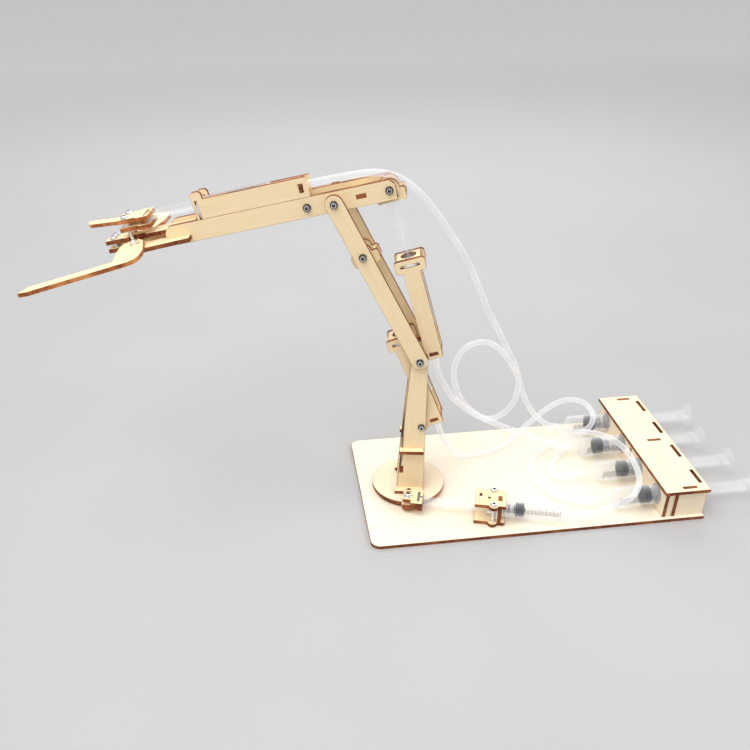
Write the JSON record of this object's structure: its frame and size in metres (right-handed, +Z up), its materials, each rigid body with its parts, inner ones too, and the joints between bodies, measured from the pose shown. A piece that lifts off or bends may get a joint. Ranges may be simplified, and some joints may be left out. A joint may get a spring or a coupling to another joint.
{
  "type": "hydraulic robot arm kit",
  "caption": "Laser-cut plywood arm on a turntable with a two-jaw gripper, each joint driven through a soft tube by a syringe in a control box.",
  "frame": {"origin": "centre of the base board's underside, on the table", "axes": "+X along the board toward the control box, +Y to the far side, +Z up"},
  "size_m": [0.5659, 0.1912, 0.2785],
  "materials": {
    "plywood": "pale laser-cut plywood with burnt edges",
    "screws": "zinc plated screws and nuts",
    "syringe_plastic": "clear polypropylene",
    "piston_rubber": "black rubber",
    "soft_tube": "milky silicone tube"
  },
  "bodies": {
    "base": {"base_board": "plywood", "fixed_disc": "plywood", "box_front_wall": "plywood", "box_inner_wall": "plywood", "box_back_wall": "plywood", "box_top_plate": "plywood", "box_ribs": "plywood", "master_barrels": "syringe_plastic", "tube_gripper": "soft_tube", "tube_upper": "soft_tube", "tube_lower": "soft_tube", "tube_turn": "soft_tube"},
    "master_rod_1": {"master_plunger_1": "syringe_plastic", "master_piston_1": "piston_rubber"},
    "master_rod_2": {"master_plunger_2": "syringe_plastic", "master_piston_2": "piston_rubber"},
    "master_rod_3": {"master_plunger_3": "syringe_plastic", "master_piston_3": "piston_rubber"},
    "master_rod_4": {"master_plunger_4": "syringe_plastic", "master_piston_4": "piston_rubber"},
    "swivel": {"swivel_plates": "plywood", "swivel_screws": "screws", "turn_barrel": "syringe_plastic"},
    "turn_rod": {"turn_plunger": "syringe_plastic", "turn_piston": "piston_rubber", "crank_clevis": "plywood"},
    "turntable": {"turntable_disc": "plywood", "tower_front_plate": "plywood", "tower_rear_plate": "plywood", "tower_cross_plates": "plywood", "tower_bolts": "screws"},
    "upper_arm": {"upper_arm_front": "plywood", "upper_arm_rear": "plywood", "upper_arm_bolts": "screws"},
    "forearm": {"forearm_front": "plywood", "forearm_rear": "plywood", "forearm_cross_plate": "plywood", "forearm_bolts": "screws", "gripper_box": "plywood", "palm_plates": "plywood", "gripper_barrel": "syringe_plastic"},
    "gripper_slider": {"gripper_plunger": "syringe_plastic", "gripper_piston": "piston_rubber", "crosshead": "plywood", "drive_screws": "screws"},
    "near_jaw": {"jaw_near": "plywood"},
    "far_jaw": {"jaw_far": "plywood"},
    "lower_holder": {"lower_holder_sides": "plywood", "lower_holder_ends": "plywood", "lower_barrel": "syringe_plastic"},
    "lower_rod": {"lower_plunger": "syringe_plastic", "lower_piston": "piston_rubber", "lower_clevis": "plywood"},
    "upper_holder": {"upper_holder_sides": "plywood", "upper_holder_ends": "plywood", "upper_barrel": "syringe_plastic"},
    "upper_rod": {"upper_plunger": "syringe_plastic", "upper_piston": "piston_rubber", "upper_clevis": "plywood"}
  },
  "joints": [
    {"name": "base_yaw", "type": "hinge", "parent": "base", "child": "turntable", "pos_m": [-0.098, 0, 0.006], "axis": [0, 0, 1], "range_deg": [-25, 25], "deforming": ["tube_gripper", "tube_upper", "tube_lower", "tube_turn"]},
    {"name": "turn_swing", "type": "hinge", "parent": "base", "child": "swivel", "pos_m": [-0.038, -0.0516, 0.0135], "axis": [0, 0, 1], "range_deg": [-1.85, 1.85], "deforming": ["tube_turn"]},
    {"name": "turn_stroke", "type": "slide", "parent": "swivel", "child": "turn_rod", "axis": [-0.9603, 0.2791, 0], "range_m": [-0.0138, 0.0138]},
    {"name": "shoulder", "type": "hinge", "parent": "turntable", "child": "upper_arm", "pos_m": [-0.0916, -0.00113, 0.1355], "axis": [-0.1736, -0.9848, 0], "range_deg": [0, 40], "deforming": ["tube_gripper", "tube_upper", "tube_lower"]},
    {"name": "lower_swing", "type": "hinge", "parent": "turntable", "child": "lower_holder", "pos_m": [-0.08864, -0.00165, 0.0735], "axis": [-0.1736, -0.9848, 0], "range_deg": [0, 25.6], "deforming": ["tube_lower"]},
    {"name": "lower_stroke", "type": "slide", "parent": "lower_holder", "child": "lower_rod", "axis": [-0.3669, 0.0647, 0.928], "range_m": [-0.0197, 0]},
    {"name": "elbow", "type": "hinge", "parent": "upper_arm", "child": "forearm", "pos_m": [-0.15372, 0.00983, 0.25824], "axis": [-0.1736, -0.9848, 0], "range_deg": [-25, 20], "deforming": ["tube_gripper", "tube_upper"]},
    {"name": "upper_swing", "type": "hinge", "parent": "upper_arm", "child": "upper_holder", "pos_m": [-0.0916, -0.00113, 0.1355], "axis": [-0.1736, -0.9848, 0], "range_deg": [-0.72, 0.9], "deforming": ["tube_upper"]},
    {"name": "upper_stroke", "type": "slide", "parent": "upper_holder", "child": "upper_rod", "axis": [-0.267, 0.0471, 0.9625], "range_m": [-0.01675, 0.0134]},
    {"name": "grip", "type": "slide", "parent": "forearm", "child": "gripper_slider", "axis": [-0.9611, 0.1695, -0.2181], "range_m": [-0.0089, 0]},
    {"name": "near_jaw_swing", "type": "hinge", "parent": "forearm", "child": "near_jaw", "pos_m": [-0.29778, 0.01898, 0.22617], "axis": [-0.2148, 0.0379, 0.9759], "range_deg": [-46.1, 0]},
    {"name": "far_jaw_swing", "type": "hinge", "parent": "forearm", "child": "far_jaw", "pos_m": [-0.29222, 0.05049, 0.22617], "axis": [-0.2148, 0.0379, 0.9759], "range_deg": [0, 46.1]},
    {"name": "master_stroke_1", "type": "slide", "parent": "base", "child": "master_rod_1", "axis": [1, 0, 0], "range_m": [0, 0.0059]},
    {"name": "master_stroke_2", "type": "slide", "parent": "base", "child": "master_rod_2", "axis": [1, 0, 0], "range_m": [-0.00885, 0.0111]},
    {"name": "master_stroke_3", "type": "slide", "parent": "base", "child": "master_rod_3", "axis": [1, 0, 0], "range_m": [0, 0.01305]},
    {"name": "master_stroke_4", "type": "slide", "parent": "base", "child": "master_rod_4", "axis": [1, 0, 0], "range_m": [-0.0092, 0.0092]}
  ],
  "couplings": [
    {"joint": "turn_swing", "follows": "base_yaw", "ratio": -0.0737},
    {"joint": "turn_stroke", "follows": "base_yaw", "m_per_rad": -0.031575},
    {"joint": "master_stroke_4", "follows": "base_yaw", "m_per_rad": 0.020887},
    {"joint": "lower_swing", "follows": "shoulder", "ratio": 0.6389},
    {"joint": "lower_stroke", "follows": "shoulder", "m_per_rad": -0.028206},
    {"joint": "master_stroke_3", "follows": "shoulder", "m_per_rad": 0.018658},
    {"joint": "upper_swing", "follows": "elbow", "ratio": -0.0355},
    {"joint": "upper_stroke", "follows": "elbow", "m_per_rad": 0.038297},
    {"joint": "master_stroke_2", "follows": "elbow", "m_per_rad": -0.025333},
    {"joint": "near_jaw_swing", "follows": "grip", "rad_per_m": 90.2},
    {"joint": "far_jaw_swing", "follows": "grip", "rad_per_m": -90.2},
    {"joint": "master_stroke_1", "follows": "grip", "ratio": -0.6615}
  ]
}
